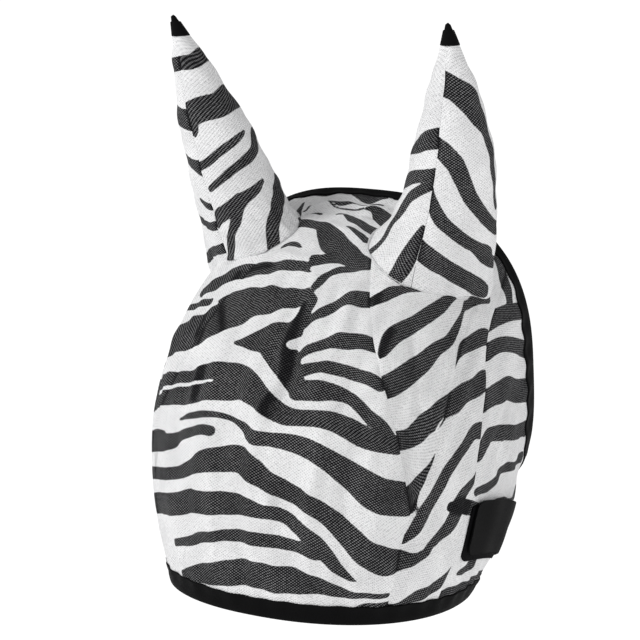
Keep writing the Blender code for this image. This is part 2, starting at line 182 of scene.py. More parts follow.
def distance(points, strokes, place):
    """Distance of each point to the nearest stroke's edge, minus inside."""
    flat = points.reshape(-1, 3)
    best = np.full(len(flat), FAR)
    for stroke in strokes:
        line = smooth(stroke)
        path = place(line[:, 0] / 100, line[:, 1])
        radius = np.maximum(line[:, 2], 0.2) / 1000
        reach = radius.max() + 0.012
        near = np.where(((flat > path.min(0) - reach) & (flat < path.max(0) + reach)).all(1))[0]
        if not len(near):
            continue
        a = path[:-1]
        ab = path[1:] - a
        long = np.maximum((ab**2).sum(-1), 1e-12)
        offset = flat[near][:, None, :] - a
        k = np.clip((offset * ab).sum(-1) / long, 0, 1)
        gap = np.linalg.norm(offset - ab * k[..., None], axis=-1)
        gap = gap - (radius[:-1] + (radius[1:] - radius[:-1]) * k)
        best[near] = np.minimum(best[near], gap.min(1))
    return best.reshape(points.shape[:-1])


def flip(strokes):
    """The same strokes on the mask's other side."""
    return [[(t, -phi, w) for t, phi, w in stroke] for stroke in strokes]


# ---- Stripes ----
# A stroke is a list of (t in per cent, phi, half width in millimetres). A panel has black strokes,
# white ones cut out of them, and dark ones where the cloth lies double and where shade is painted,
# in the middle crease of the face and under the right ear.

FOREHEAD = [
    [(86.6, -14, 5), (86.6, -9, 5), (86, -4.5, 5.5), (84, 0, 9.5), (81.5, 4.5, 12), (79.7, 9, 11.5),
     (78.6, 13, 9), (78, 17, 7.5)],
]
FACE_BLACK = [
    # black stripe, widened from phi -39 to -21 into painted shadow under the right ear
    [(72.2, -39, 7), (73.3, -30, 8.5), (74.2, -21, 7.8), (74.7, -11, 6), (75.2, -5, 5.2), (75.2, 0.5, 5)],
    [(60, -88, 10), (61, -60, 13), (61.5, -45, 16), (61.4, -35, 16), (62.4, -28, 16), (65, -21, 18.5),
     (66.7, -16, 15), (67.2, -10, 14), (68, -3, 10), (68.7, 3, 8.5)],
    [(70, -62, 3), (69, -45, 3), (68, -33, 5)],
    [(57.9, -14.5, 2), (58.1, -9.5, 6), (58.8, -4.5, 11.5), (59.3, -1, 14)],
    [(60, 0, 12.5), (61.3, 2.6, 9), (63.5, 4.2, 5), (66, 5, 4.2), (68.5, 5, 6)],
    [(57.8, 0, 13), (55.5, 3, 12), (53, 6, 10), (50, 9, 8), (49, 11, 7)],
    [(61.5, 4.2, 3), (63.5, 5.5, 3.8), (65, 8, 4.5), (66.5, 12, 5), (68.5, 15.5, 6), (70, 19.5, 8),
     (71.2, 24, 9)],
    [(71, 5, 2.5), (73.5, 6.5, 3.5), (74.5, 8.5, 3.5), (76, 12.5, 4.5), (77.5, 17, 5)],
    [(77, 1, 5), (78, 8, 5), (78.5, 15, 5)],
    [(56.5, 7.5, 4), (58, 10, 4), (60, 14.5, 5.7), (61.5, 21, 7), (62.5, 26, 6.8), (62.5, 32, 7)],
    [(53, 8.5, 5), (54.5, 14, 4.5), (55, 19, 5), (55.2, 24, 5), (55, 29, 5), (54.3, 33.5, 5)],
    [(49, 10, 8), (49.5, 16, 8), (50, 21, 6.3), (49.7, 26, 4.7), (48, 30, 4.5), (46.5, 33, 4.8),
     (45, 37, 5), (43, 40, 5)],
    [(46, -88, 8), (49, -62, 12), (47.5, -32, 13.3), (48.5, -22.5, 14.5), (49, -14, 15), (48.7, -8, 12.5),
     (46, -1, 9), (44, 3.5, 8), (43, 8, 7.2), (43, 12.5, 6.2), (43.5, 17.5, 6.3), (43.7, 22.5, 7.2),
     (43, 27.5, 8), (42, 32.5, 8), (42, 37.5, 7.5), (42.5, 42, 7.2)],
    [(40.2, -32, 1.2), (41, -24, 2.8), (41.3, -15.5, 2.3), (40.5, -9, 2), (39.2, -4.5, 3.3),
     (37.5, -1, 5.3), (37.5, 4.5, 5.3), (37.5, 11, 6.5), (37, 16.5, 7.3), (35.8, 22, 7.7),
     (34.1, 27.5, 9.3), (32.4, 33, 11), (30.7, 38.5, 13), (30.5, 43.5, 13.5), (31, 49, 13)],
    [(38, -85, 5), (36, -48, 9), (35, -36, 6.5), (36.5, -29, 4.2), (37.8, -20.5, 4), (37.7, -16.5, 4)],
    [(30, -85, 5), (28, -50, 5), (28, -33, 5), (29.8, -24, 6), (31.3, -18, 8.5), (32, -12, 9.7),
     (32.5, -6, 10.5), (31, -1, 9.7), (29.3, 4, 7.7), (27.8, 10, 7.5), (26.7, 15.5, 6.8),
     (25.2, 21.5, 6.8), (23, 27, 7.3), (20, 32.5, 8.7), (17, 38, 10), (15.5, 44.5, 11), (15.5, 48, 10)],
    [(18, -85, 6), (20, -60, 8), (21, -34, 9), (22.3, -25, 9.3), (22.5, -18, 9), (23, -10, 9),
     (23.3, -3, 7.5), (22.8, 2.5, 5.7), (22.5, 8, 5.3), (21.3, 14, 5.5), (19.2, 19, 6), (17, 22.5, 7.5),
     (15, 26, 6), (12.6, 29.3, 4.3), (11, 32.7, 3), (10.3, 35.7, 0.8)],
    [(12, -35, 3), (13, -27, 4), (14.5, -21, 4.5), (15.6, -13.7, 4.5), (16.5, -5.5, 5.2), (16.8, 2, 5.5),
     (16.6, 8.5, 5.2), (16.3, 14, 5), (16, 19, 5), (15.5, 22.5, 6)],
    [(4.5, -33, 4), (6, -23, 8), (7.5, -12, 10), (8.5, -4, 10.5), (8.7, 2.5, 11), (8.3, 8.5, 11),
     (8.5, 14.5, 10.7), (8.3, 20.3, 8), (8, 25.7, 6), (7, 31.5, 4.2), (6.8, 37, 2.7), (7, 47.5, 2.2)],
    [(3.5, 36, 1), (4, 41, 3.5), (4, 48, 4)],
    [(79.5, -13.5, 1), (80.5, -11.5, 2.8), (80.3, -9, 3), (79.7, -6.5, 1.2)],
] + FOREHEAD
FACE_WHITE = [
    [(66, -62, 5), (65.5, -50, 5), (66.5, -38, 4), (67, -28, 2)],
    [(75.2, 1.8, 3.3), (75.8, 5, 3.3), (76.4, 8.5, 2.4), (76.9, 13, 0.3)],
    [(58.6, 4.3, 3.3), (61, 9.5, 6.7), (63.5, 14, 8.5), (66, 19.5, 11), (67, 28.5, 13)],
    [(48, -50, 1.5), (48.3, -30, 1.5), (48.8, -19, 1)],
]
FACE_DARK = [
    # painted shade in the crease along the face's middle fold
    [(67.2, 4.2, 2), (63, 3.6, 3.5), (60, 3.4, 4.5), (56, 4.2, 5), (52, 5, 4.5), (48, 3.5, 3.5),
     (44, 1, 3), (42, 2, 2)],
    [(70, -28.5, 3), (65, -24.5, 3.5), (60.5, -20.5, 3)],
    [(70, -36, 2.5), (65.5, -33, 2.5), (61, -29, 3), (58, -30, 2)],
    [(53, -25, 4), (50, -25, 5), (45, -26, 4)],
    # painted shadow under the right ear, over the widened black stripe
    [(71.5, -40, 6), (73, -32, 6), (74.2, -24, 4.5), (75, -14, 2.5)],
    [(73.5, 24.5, 5), (71.5, 24, 5), (69, 25, 3.5)],
]
SIDE_BLACK = [
    [(60, 31.5, 1.2), (61.5, 31.8, 4), (65, 32.9, 6.8), (67.5, 35.5, 6.5), (70, 38.2, 6), (73.2, 41, 6),
     (75.8, 43, 5.5), (78.3, 44.4, 4), (80, 46.4, 0.8)],
    [(70.8, 24, 5), (72.2, 26.5, 5), (73.8, 28.5, 5), (75.5, 31.5, 4.5), (76.8, 35, 3.5), (77.5, 38, 1)],
    [(53.3, 33.8, 8.5), (55.3, 36.6, 8.7), (58, 39.4, 8.5), (61, 41.9, 8), (63.4, 43.9, 7),
     (67, 46.2, 5.5), (70, 48.9, 4.5), (72.35, 49.8, 3.8), (75.6, 50.3, 2.8), (78.4, 50.3, 1.5),
     (81, 50, 2.5)],
    [(41, 40, 7), (43, 41.2, 7.5), (45.3, 45.6, 7.5), (49.3, 48.6, 8), (52.2, 51.4, 8.5), (55.5, 53.4, 8),
     (58.8, 57, 8.5), (62.6, 60, 8), (66, 63.6, 8), (70, 67.2, 8.5), (71, 70, 8.5)],
    [(65.7, 53.9, 0.5), (68.5, 53.7, 2), (71.3, 54.5, 5), (74, 56.8, 6), (76.7, 59.1, 6.5),
     (78.8, 61.1, 7), (80, 64, 7)],
    [(20.6, 50.3, 2), (23.5, 52.6, 4.3), (26.9, 54.3, 5.8), (30.4, 55.6, 6), (33.7, 57.2, 5.7),
     (37.3, 58.8, 5.5), (41.1, 60.3, 5), (45.5, 63, 5.3), (50, 65.7, 5.6), (55.2, 68.1, 6),
     (57.5, 71, 6.5), (59, 74, 6.5)],
    [(20.7, 59.8, 3), (23.6, 62.9, 5), (26.8, 66.6, 6), (30.5, 68.8, 7.5), (34.6, 69.1, 6),
     (38.3, 70.9, 5.5), (42.2, 74.1, 3.5), (45.1, 75.8, 3)],
    [(16, 39.7, 11), (14.8, 44.9, 10), (15.7, 48.9, 9), (16.7, 54, 5.5), (18.4, 58.5, 4.2),
     (20.7, 60.2, 3)],
    [(32.5, 66, 4), (33.8, 71, 6), (34.5, 78, 6)],
    [(43.8, 54.2, 0.4), (41, 53.4, 1.5), (38.2, 52, 3), (34.5, 50.4, 5), (31, 49, 8), (29.5, 49.5, 7)],
    [(3.5, 48, 3), (4, 52, 3), (5.4, 55.8, 4), (7.1, 61.7, 6), (8.9, 67.5, 5.5), (11.7, 70.4, 4),
     (15.4, 73.1, 0.8)],
]
SIDE_WHITE = [
    [(53.5, 54.6, 0.3), (51.5, 53.6, 0.9), (49, 52.6, 0.6)],
]
SIDE_DARK = [
    [(32.5, 66, 5), (33.8, 71, 8), (34.5, 78, 8)],
    [(57, 31.5, 3), (53, 34.5, 4.5), (51.5, 36, 4)],
    [(73.5, 24.5, 4), (71.5, 25, 4), (70, 26, 3)],
    [(66, 32.2, 3.5), (63, 31.5, 3.5), (60, 31.5, 3)],
]
JOWL_BLACK = [
    [(80, 57.5, 7.5), (82, 59.5, 7.5), (86.5, 62, 7), (91, 64.5, 7), (96, 68, 7)],
    [(74.5, 62.5, 6.5), (76, 64.2, 6.5), (80, 66.8, 6.2), (84, 70, 6.2), (91.8, 78, 6.8), (98, 84, 7)],
    [(65, 69.5, 8), (66.2, 70.4, 8), (70, 74.1, 8.5), (73.4, 77.5, 9.3), (77.5, 81.2, 9.7),
     (83.9, 89, 9.7), (95, 97, 10)],
    [(51, 74, 6), (52.6, 75, 6), (57.4, 76.6, 7), (61.8, 81, 6.5), (67.5, 89.5, 6.5), (76, 100, 6.3),
     (90, 109, 7)],
    [(40, 77.5, 3.5), (41.5, 80, 3.5), (44.4, 85, 4), (49.3, 90.5, 3.5), (53.3, 92.5, 3.5), (59, 98, 4),
     (68, 108, 3.5), (85, 118, 5)],
    [(41.5, 94, 3), (45.5, 102, 3.5), (52, 114, 3.5), (70, 124, 5)],
    [(35, 88, 6), (30, 96, 6), (24, 93, 4), (19, 91, 4.5), (15.5, 87, 5), (14, 82, 4), (13, 79, 2)],
    [(10, 106, 4), (9, 98, 4), (7.5, 91, 4.5), (6.8, 82, 5), (5.5, 74, 6), (4, 67, 6)],
    [(25, 118, 6), (32, 112, 6), (38, 124, 6)],
    [(34.3, 74, 6), (35, 84, 5.5)],
]
TOP_BLACK = [
    [(80, 50.5, 2.5), (82.5, 51.5, 4), (85, 53, 5), (87, 55, 5)],
    [(100, 46, 9), (96, 55, 7), (93, 63, 6)],
]
CROWN_BLACK = [
    [(95.5, -21, 1.2), (91, -18.5, 3), (88, -16.5, 5), (86.2, -14, 5)],
    [(90.7, -3.5, 1.2), (91.2, -1, 2.5), (90.5, 1, 3.3), (89.2, 4, 3.8), (88.3, 8, 4.2), (87.2, 12, 5),
     (86.2, 15, 5)],
    [(86.6, 4.3, 1.2), (86, 7, 2.5), (84.8, 10.5, 2.8), (83.3, 14.5, 3.3)],
    [(95.1, -13.5, 1), (94.5, -8, 2), (94.1, -4, 2.2), (94.3, 0, 2), (94.8, 4, 1.7), (95.2, 9, 1.4)],
    [(93, 5, 1.2), (92.8, 9, 4.5), (91.8, 12, 7.5), (90.3, 14, 6), (89, 15.5, 3.5)],
    [(90.6, -12.5, 1.8), (90.5, -9.5, 2)],
    [(91.8, -17, 0.9), (94, -14.5, 1), (94.4, -11, 1), (93.4, -6.5, 0.9), (92.7, -2, 0.9), (93, 4, 1)],
    [(98.5, -24, 3), (98.4, -16, 3.5), (98.5, -11, 3), (99, -8, 1.5)],
    [(98.5, -4.5, 3), (97.5, -1, 4.5), (97.2, 3, 5), (98, 7.5, 3)],
    [(98.5, 11, 3), (98.5, 18, 3.5), (98.5, 30, 3.5)],
    [(90, -38, 6), (95, -33, 6), (100, -28, 6)],
    [(90, 42, 6), (95, 36, 6), (100, 30, 6)],
] + TOP_BLACK + FOREHEAD
CROWN_WHITE = [
    [(99, -6.8, 1.2), (97.2, -5, 1.5), (96.1, -1, 1.5), (95.6, 3.5, 1.5), (96.3, 7.8, 1.5),
     (97.8, 9.6, 1.3), (99, 9.6, 1)],
]
FLAP_BLACK = [
    [(15, 118, 7), (20, 150, 9), (12, 180, 7), (20, 215, 9), (15, 245, 7)],
    [(50, 128, 6), (42, 155, 5), (55, 175, 6), (45, 200, 6), (52, 235, 6)],
    [(90, 130, 5), (78, 150, 5), (88, 182, 6), (78, 212, 5), (90, 232, 5)],
]

# On the ears: (height in per cent, angle round the ear, half width in millimetres).
LEFT_OUTER = [
    [(78.5, -32, 9.5), (76.3, 1, 8.5), (72.5, 30, 9.5), (66, 47, 8), (59, 57, 5), (48.5, 64, 4),
     (38.5, 68, 3), (30, 72, 2.5)],
    [(54.5, -32, 8), (52.5, -18, 7.5), (47.7, -1, 7), (41, 11, 6.2), (34.5, 22, 5.8), (29.5, 36, 5.2),
     (25, 54, 5), (22, 80, 5)],
    [(37.5, -34, 5), (31, -23, 5.5), (26, -12, 5.5), (21.7, 3, 5), (18.7, 17, 4.8), (16.5, 31, 5),
     (14, 50, 7), (12, 62, 5), (10, 90, 5)],
    [(15, -33, 7.5), (12.5, -20, 7.8), (9.2, -6, 7.2), (6.6, 8, 7), (4.6, 22, 7), (3, 38, 7.2), (2, 56, 5)],
]
LEFT_INNER = [
    [(57.5, -26, 8.5), (56, -50, 7), (53, -70, 5), (50, -95, 3), (47, -150, 5), (50, -250, 5)],
    [(43.5, -26, 5), (41, -60, 5), (37, -85, 4.5), (33, -110, 4), (27, -170, 5), (30, -250, 5)],
    [(39.5, -28, 4.2), (35.5, -46, 4), (31, -61, 4), (25, -67, 3.8), (19.5, -70, 3.5), (13, -70, 3),
     (5, -69, 2.8), (0, -72, 2.5)],
    [(22, -29, 2), (17, -31, 4.5), (11, -33, 6.5), (5, -35, 7), (0.5, -37, 6)],
    [(76, -150, 3), (74.5, -200, 5.5), (74, -250, 2)],
    [(64, -120, 2.5), (62, -170, 5), (65, -245, 6)],
    [(15, -130, 3), (12, -200, 7.5), (16, -250, 6)],
]
RIGHT_INNER = [
    [(81.5, -5, 5.5), (82.5, -60, 6), (84.5, -120, 6.5), (84, -240, 5)],
    [(60, -5, 10), (63.5, -40, 10), (65, -75, 10), (67.5, -115, 11), (66, -170, 8), (68, -240, 7)],
    [(60, -12, 8), (55, -13, 5), (52, -14, 1)],
    [(53.5, -101, 1.7), (51, -80, 3.3), (46.5, -50, 3.5), (41.5, -24, 3.5), (39, -6, 3.5)],
    [(51.5, -127, 6), (45, -100, 5), (40, -66, 4), (35, -40, 3.3), (30, -16, 2.5)],
    [(31.5, -92, 2), (28, -74, 4), (23.5, -48, 5.5), (16.5, -36, 4.5), (8, -22, 4.2), (-3, -10, 5)],
    [(25, -50, 5), (21, -32, 6), (18, -16, 6), (15, -12, 3.5)],
    [(29, -128, 6.5), (22.5, -109, 8), (15.5, -87, 6.5), (8, -65, 5.5), (-3, -48, 5)],
    [(40, -150, 5), (36, -200, 6), (40, -245, 5)],
    [(15, -150, 5), (12, -200, 6), (15, -245, 5)],
]
RIGHT_OUTER = [
    [(81.5, -12, 5.5), (80, 60, 5.5), (82, 120, 5)],
    [(58.5, -12, 9), (60, 40, 8), (60, 120, 7)],
    [(38.5, -12, 7), (40, 8, 5), (43, 60, 5), (42, 120, 5)],
    [(21.5, -12, 3), (23.5, 2, 3.5), (25, 9, 2.5)],
    [(14.5, -12, 4), (15, 8, 4), (20, 60, 5), (24, 120, 5)],
    [(5, -12, 4.5), (5, 60, 4), (8, 120, 4)],
]


# ---- Folds and wrinkles of the cloth ----

RIDGE_RISE = 1.35        # millimetres of relief for a height of 1 below
RIDGES = [               # line as (t in per cent, phi), height (- for a groove), width in millimetres
    ([(43, 1), (37, -2), (34, -5), (30, -9), (27, -13)], -0.9, 2.5),
    ([(25, -25), (23, -28), (21, -30)], -0.8, 2.5),
    ([(74, 3), (67, 3.6), (60, 2.6), (50, 3.6), (43, 0)], 1.8, 4.0),
    ([(74, 7), (67, 7.4), (60, 6.4), (50, 7.4), (43, 3)], -1.5, 3.0),
    ([(62, -45), (60, -25), (55, -8)], 1.2, 9.0),
    ([(72, 12), (62, 15), (52, 14)], -1.4, 5.0),
    ([(71, 17), (62, 20), (54, 19)], 1.4, 6.0),
    ([(45, 12), (33, 9), (24, 5)], 1.6, 6.0),
    ([(40, 24), (30, 20), (20, 16)], 1.4, 6.0),
    ([(36, 18), (28, 15), (20, 11)], -1.2, 5.0),
    ([(68, 38), (60, 43), (52, 46)], -1.2, 4.0),
    ([(50, 46), (44, 50), (36, 52)], 1.2, 5.0),
    ([(35, -40), (36, -15), (40, 10), (42, 30)], 1.2, 11.0),
    ([(14, -35), (12, 0), (13, 35)], -1.2, 10.0),
    ([(25, 30), (20, 40), (18, 48)], -1.4, 7.0),
    ([(78, -12), (77, -4), (79, 3)], 1.5, 4.0),
    ([(83, -2), (80, 4), (77, 12)], -1.2, 5.0),
    ([(74, 20), (75.5, 24), (76, 30)], -1.2, 3.0),
    ([(45, 60), (35, 57), (25, 54)], 1.0, 6.0),
    ([(60, 80), (55, 95), (50, 110)], -1.2, 8.0),
    ([(93, -16), (94.5, -6), (93.5, 4), (94, 12)], 1.8, 3.0),
    ([(91, -16), (92, -6), (91.5, 4), (91, 12)], -1.6, 3.0),
    ([(96.5, -12), (96, 0), (96.5, 10)], -1.6, 3.5),
    ([(88, -15), (87, -3), (85, 10)], 1.5, 6.0),
]


def relief(points, t, phi):
    """How far the cloth stands off its smooth shape, in metres."""
    x, y, z = points[..., 0], points[..., 1], points[..., 2]
    ripple = 0.0006 * np.sin(x * 61 + z * 43 + 1.0) * np.sin(y * 57 - z * 38)
    ripple += 0.0004 * np.sin(x * 128 - y * 97 + z * 71)
    ripple += 0.0007 * np.sin(phi * 0.71 - 9 * t + 2) * np.sin(t * 11 + 0.5)
    face = np.exp(-((phi - 5) / 45)**2) * np.sin(np.pi * np.clip(t / 0.8, 0, 1))
    folds = 0.0032 * np.sin(phi * 0.33 + 5 * t) * face
    folds += 0.0008 * np.sin(phi * 0.9 + 3 * np.sin(6 * t)) * np.sin(np.pi * np.clip(t / 0.9, 0, 1))
    eyes = 0.003 * np.exp(-(((np.abs(phi) - 44) / 13)**2 + ((t - 0.5) / 0.13)**2))
    out = ripple + folds + eyes
    for line, height, width in RIDGES:
        near = distance(points, [[(a, b, 0.0) for a, b in line]], skin) + 0.0002
        out += RIDGE_RISE * height / 1000 * np.exp(-(near / (width / 1000))**2)
    at_edge = 0.15 + 0.85 * np.clip(np.minimum(t, 1 - t) / 0.03, 0, 1)
    by_closure = 1 - 0.9 * np.exp(-((phi - 105) / 38)**4 - ((t - 0.37) / 0.15)**4)
    return out * at_edge * by_closure


# ---- Materials ----

def nodes_of(name):
    """A new material with its node tree and shader."""
    made = bpy.data.materials.new(name)
    made.use_nodes = True
    tree = made.node_tree
    return made, tree, tree.nodes["Principled BSDF"]


def math_node(tree, kind, a, b=None, c=None):
    """A Math node's output; a, b and c are numbers or other outputs."""
    node = tree.nodes.new("ShaderNodeMath")
    node.operation = kind
    for socket, value in zip(node.inputs, (a, b, c)):
        if value is None:
            continue
        if isinstance(value, (int, float)):
            socket.default_value = value
        else:
            tree.links.new(value, socket)
    return node.outputs[0]


def ramp(tree, value, low, high, to_low=0.0, to_high=1.0):
    """A smooth step of a value from one range to another."""
    node = tree.nodes.new("ShaderNodeMapRange")
    node.interpolation_type = "SMOOTHSTEP"
    tree.links.new(value, node.inputs[0])
    for socket, number in zip(list(node.inputs)[1:5], (low, high, to_low, to_high)):
        socket.default_value = number
    return node.outputs[0]


def mix(tree, fac, a, b):
    """A colour between a and b, each a colour or another output."""
    node = tree.nodes.new("ShaderNodeMix")
    node.data_type = "RGBA"
    for socket, value in ((node.inputs[0], fac), (node.inputs[6], a), (node.inputs[7], b)):
        if isinstance(value, tuple):
            socket.default_value = value
        else:
            tree.links.new(value, socket)
    return node.outputs[2]


def attribute(tree, name, output):
    """A value stored on the mesh's points."""
    node = tree.nodes.new("ShaderNodeAttribute")
    node.attribute_name = name
    return node.outputs[output]


def noise(tree, vector, scale, detail=2.0):
    node = tree.nodes.new("ShaderNodeTexNoise")
    node.inputs["Scale"].default_value = scale
    node.inputs["Detail"].default_value = detail
    tree.links.new(vector, node.inputs["Vector"])
    return node.outputs[0]


def weave(tree, pitch_u, pitch_v):
    """Rows of small knots, 0 in the holes to 1 on the knots, and the cloth's own coordinates."""
    cloth = attribute(tree, "cloth", "Vector")
    split = tree.nodes.new("ShaderNodeSeparateXYZ")
    tree.links.new(cloth, split.inputs[0])
    u = math_node(tree, "SINE", math_node(tree, "MULTIPLY", split.outputs[0], 2 * math.pi / pitch_u))
    v = math_node(tree, "SINE", math_node(tree, "MULTIPLY", split.outputs[1], 2 * math.pi / pitch_v))
    return math_node(tree, "MULTIPLY_ADD", math_node(tree, "MULTIPLY", u, v), 0.5, 0.5), cloth


def bump(tree, shader, height, strength, depth):
    """Relief from the shader's normal."""
    node = tree.nodes.new("ShaderNodeBump")
    node.inputs["Strength"].default_value = strength
    node.inputs["Distance"].default_value = depth
    tree.links.new(height, node.inputs["Height"])
    tree.links.new(node.outputs[0], shader.inputs["Normal"])


def mesh_cloth():
    """Knitted mesh: black stripes with pale knots on a white ground, darker where it lies double and where
    shade is painted in a crease and under the right ear.
    """
    made, tree, shader = nodes_of("striped_mesh")
    knots, cloth = weave(tree, 0.0030, 0.0022)
    fine = noise(tree, cloth, 420)
    broad = noise(tree, cloth, 30)
    wobble = math_node(tree, "MULTIPLY_ADD", noise(tree, cloth, 700, 1.0), 0.0010, -0.0005)
    edge = math_node(tree, "ADD", attribute(tree, "stripe", "Fac"), wobble)
    is_white = ramp(tree, edge, -0.0003, 0.0004)
    doubled_and_shade = attribute(tree, "doubled_and_shade", "Fac")
    light = ramp(tree, math_node(tree, "MULTIPLY_ADD", fine, 0.6, knots), 0.72, 1.32)
    light = math_node(tree, "MULTIPLY", light, ramp(tree, broad, 0.25, 0.75, 0.7, 1.15))
    # doubled cloth and painted shade darken the knots of the black stripes
    light = math_node(tree, "MULTIPLY", light, math_node(tree, "SUBTRACT", 1.0, doubled_and_shade))
    black = mix(tree, light, (0.003, 0.003, 0.004, 1), (0.27, 0.27, 0.275, 1))
    shade = math_node(tree, "MULTIPLY_ADD", fine, 0.6, math_node(tree, "MULTIPLY", knots, 0.5))
    shade = ramp(tree, shade, 0.15, 0.62)
    shade = math_node(tree, "MULTIPLY", shade, ramp(tree, broad, 0.2, 0.8, 0.72, 1.1))
    white = mix(tree, shade, (0.50, 0.50, 0.51, 1), (0.93, 0.93, 0.935, 1))
    tree.links.new(mix(tree, is_white, black, white), shader.inputs["Base Color"])
    shader.inputs["Roughness"].default_value = 0.85
    shader.inputs["Specular IOR Level"].default_value = 0.06
    bump(tree, shader, math_node(tree, "ADD", knots, fine), 0.8, 0.0007)
    return made


def black_cloth(name, colour, pitch_u, pitch_v, rough, fuzz=0.0):
    """Plain black tape, webbing or hook-and-loop."""
    made, tree, shader = nodes_of(name)
    rows, cloth = weave(tree, pitch_u, pitch_v)
    fine = noise(tree, cloth, 900 if fuzz else 500)
    value = math_node(tree, "MULTIPLY_ADD", fine, 0.6, math_node(tree, "MULTIPLY", rows, 0.4))
    low = tuple(c * 0.5 for c in colour) + (1,)
    high = tuple(c * 1.6 for c in colour) + (1,)
    tree.links.new(mix(tree, value, low, high), shader.inputs["Base Color"])
    shader.inputs["Roughness"].default_value = rough
    shader.inputs["Specular IOR Level"].default_value = 0.08
    bump(tree, shader, value, 0.5 + fuzz, 0.0005)
    return made


MESH = mesh_cloth()
TAPE = black_cloth("ribbed_tape", (0.0018, 0.0018, 0.002), 0.0012, 0.004, 0.75)
WEBBING = black_cloth("strap_webbing", (0.0018, 0.0018, 0.002), 0.0018, 0.0018, 0.8)
LOOP = black_cloth("loop_pile", (0.0025, 0.0025, 0.003), 0.0009, 0.0009, 0.95, 0.5)
HOOK = black_cloth("hook_pile", (0.006, 0.006, 0.007), 0.0014, 0.0014, 0.7, 0.5)


# ---- Building meshes ----

def link(name, points, faces, material, attributes):
    """A mesh object with its material slot and its points' attributes."""
    mesh = bpy.data.meshes.new(name)
    mesh.from_pydata([tuple(p) for p in points], [], [tuple(int(k) for k in f) for f in faces])
    mesh.update()
    for key, values in attributes.items():
        if values.ndim == 2:
            layer = mesh.attributes.new(key, "FLOAT_VECTOR", "POINT")
            layer.data.foreach_set("vector", values.astype(np.float32).ravel())
        else:
            layer = mesh.attributes.new(key, "FLOAT", "POINT")
            layer.data.foreach_set("value", values.astype(np.float32).ravel())
    made = bpy.data.objects.new(name, mesh)
    bpy.context.scene.collection.objects.link(made)
    mesh.materials.append(material)
    mesh.shade_smooth()
    mesh.set_sharp_from_angle(angle=math.radians(50))
    return made


def arc(points, axis):
    """Length along the cloth in one grid direction, measured from its middle."""
    step = np.linalg.norm(np.diff(points, axis=axis), axis=-1)
    total = np.cumsum(step, axis=axis)
    zero = np.zeros_like(np.take(total, [0], axis=axis))
    total = np.concatenate([zero, total], axis=axis)
    middle = total.shape[axis] // 2
    return total - np.take(total, [middle], axis=axis)


def closed_sheet(name, middle, normals, material, fields=None, keep=None, half=HALF):
    """A thin closed sheet from a grid of points; keep says which of its squares are cloth."""
    rows, cols = middle.shape[:2]
    if keep is None:
        keep = np.ones((rows - 1, cols - 1), bool)
    count = rows * cols
    number = np.arange(count).reshape(rows, cols)
    corners = number[:-1, :-1], number[:-1, 1:], number[1:, 1:], number[1:, :-1]
    top = np.stack([corner[keep] for corner in corners], 1)
    low = top[:, ::-1] + count
    sides = np.concatenate([top[:, [0, 1]], top[:, [1, 2]], top[:, [2, 3]], top[:, [3, 0]]])
    known = {(int(i), int(j)) for i, j in sides}
    wall = np.array([(j, i, i + count, j + count) for i, j in known if (j, i) not in known])
    wall = wall[np.lexsort((wall[:, 1], wall[:, 0]))]
    faces = np.concatenate([top, low, wall])
    cloth = np.stack([arc(middle, 1), arc(middle, 0), np.zeros((rows, cols))], -1)
    points = np.concatenate([(middle + normals * half).reshape(-1, 3),
                             (middle - normals * half).reshape(-1, 3)])
    used = np.zeros(2 * count, bool)
    used[faces.ravel()] = True
    new = np.cumsum(used) - 1
    values = {"cloth": cloth.reshape(-1, 3)}
    for key, field in (fields or {}).items():
        values[key] = field.ravel()
    values = {key: np.concatenate([v, v])[used] for key, v in values.items()}
    return link(name, points[used], new[faces], material, values)


# ---- Panels of the mask ----

def ear_axes(ear):
    """An ear's level axes: across its broad face to the outside, and out of that face."""
    outward = np.array([ear["side"] * math.cos(EAR_TURN), math.sin(EAR_TURN), 0])
    facing = np.array([ear["side"] * math.sin(EAR_TURN), -math.cos(EAR_TURN), 0])
    return outward, facing


def spread(ear, psi):
    """How far the rim reaches at an angle, as a factor of the base ellipse."""
    table = RIM_SPREAD["left" if ear["side"] > 0 else "right"]
    return curve(table, (np.asarray(psi, float) + 180) % 360 - 180)


def under_ear(points):
    """Inside an ear's rim, seen from above: 0 at its middle, 1 on the rim."""
    out = np.full(points.shape[:-1], 9.0)
    for ear in EARS.values():
        outward, facing = ear_axes(ear)
        flat = (points / CM - np.array(ear["base"])) * np.array([1, 1, 0])
        u = flat @ outward / (EAR_RINGS[0][1] / 2)
        v = flat @ facing / (EAR_RINGS[0][2] / 2)
        q = np.hypot(u, v) / np.minimum(spread(ear, np.degrees(np.arctan2(u, v))), 1.05)
        out = np.minimum(out, np.where(points[..., 2] > -0.11, q, 9.0))
    return out


def seam(points, t, side, inset):
    """A seam's angle at t, moved back from the face by inset metres; side is 1 or -1."""
    phi = curve(points, t)
    turn = np.linalg.norm(slopes(t, phi)[1], axis=-1)
    return side * (phi + inset / turn)


